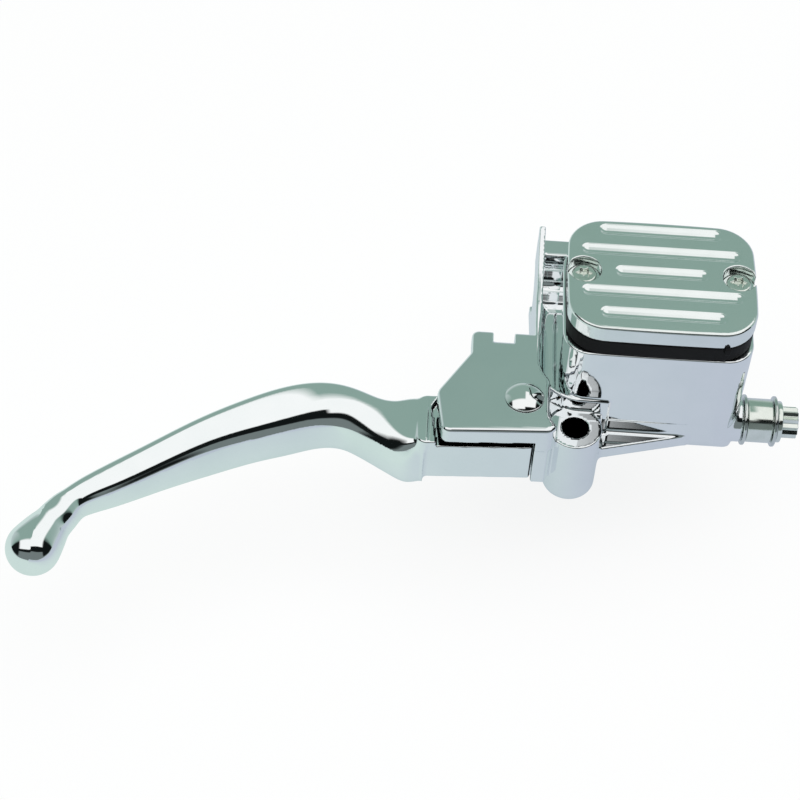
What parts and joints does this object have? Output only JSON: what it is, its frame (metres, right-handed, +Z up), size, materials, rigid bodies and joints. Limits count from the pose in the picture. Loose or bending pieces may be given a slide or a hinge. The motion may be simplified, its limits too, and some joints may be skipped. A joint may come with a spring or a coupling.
{
  "type": "brake master cylinder",
  "caption": "Chromed right-hand front brake master cylinder with a clamp-on housing, a ribbed reservoir cover, a curved ball-end lever, a mirror seat and a hose bolt.",
  "frame": {"origin": "middle of the handlebar clamp, on the handlebar's axis", "axes": "+X along the handlebar towards the hose bolt, +Y back towards the rider, +Z up through the reservoir cover"},
  "size_m": [0.2781, 0.1688, 0.0789],
  "materials": {
    "housing_chrome": "chrome plated die casting, mirror bright",
    "cover_chrome": "chrome plated, fine polish with milled grooves",
    "lever_chrome": "chrome plated forging, mirror bright",
    "pin_chrome": "chrome plated steel",
    "zinc_steel": "zinc plated",
    "bright_steel": "plain bright steel",
    "spring_steel": "oiled dark spring steel",
    "bronze": "sintered bronze",
    "bare_aluminium": "turned, bare",
    "black_rubber": "matt black rubber",
    "window": "clear window"
  },
  "bodies": {
    "body": {"housing": "housing_chrome", "handlebar_clamp": "housing_chrome", "clamp_bolt_upper": "zinc_steel", "clamp_bolt_lower": "zinc_steel", "clamp_washer_upper": "bright_steel", "clamp_washer_lower": "bright_steel", "reservoir_cover": "cover_chrome", "cover_gasket": "black_rubber", "cover_screw_left": "zinc_steel", "cover_screw_right": "zinc_steel", "sight_glass": "window", "sight_glass_seal": "black_rubber", "pivot_pin": "pin_chrome", "pivot_retaining_ring": "spring_steel", "return_spring": "spring_steel", "snap_ring": "spring_steel", "dust_boot": "black_rubber", "banjo_bolt": "zinc_steel", "banjo_spacer": "zinc_steel", "banjo_washer_inner": "bright_steel", "banjo_washer_outer": "bright_steel"},
    "lever": {"brake_lever": "lever_chrome", "pivot_bushing": "bronze"},
    "plunger": {"piston": "bare_aluminium", "primary_cup": "black_rubber", "secondary_cup": "black_rubber", "spring_seat": "bright_steel"}
  },
  "joints": [
    {"name": "lever_pivot", "type": "hinge", "parent": "body", "child": "lever", "pos_m": [-0.03205, -0.0751, 0], "axis": [0, 0, -1], "range_deg": [0, 24]},
    {"name": "piston_slide", "type": "slide", "parent": "body", "child": "plunger", "axis": [1, 0, 0], "range_m": [0, 0.0058], "stiffness_N_per_m": 1200, "springref_m": -0.01, "deforming": ["return_spring", "dust_boot"]}
  ],
  "couplings": [
    {"joint": "piston_slide", "follows": "lever_pivot", "m_per_rad": 0.01374}
  ]
}
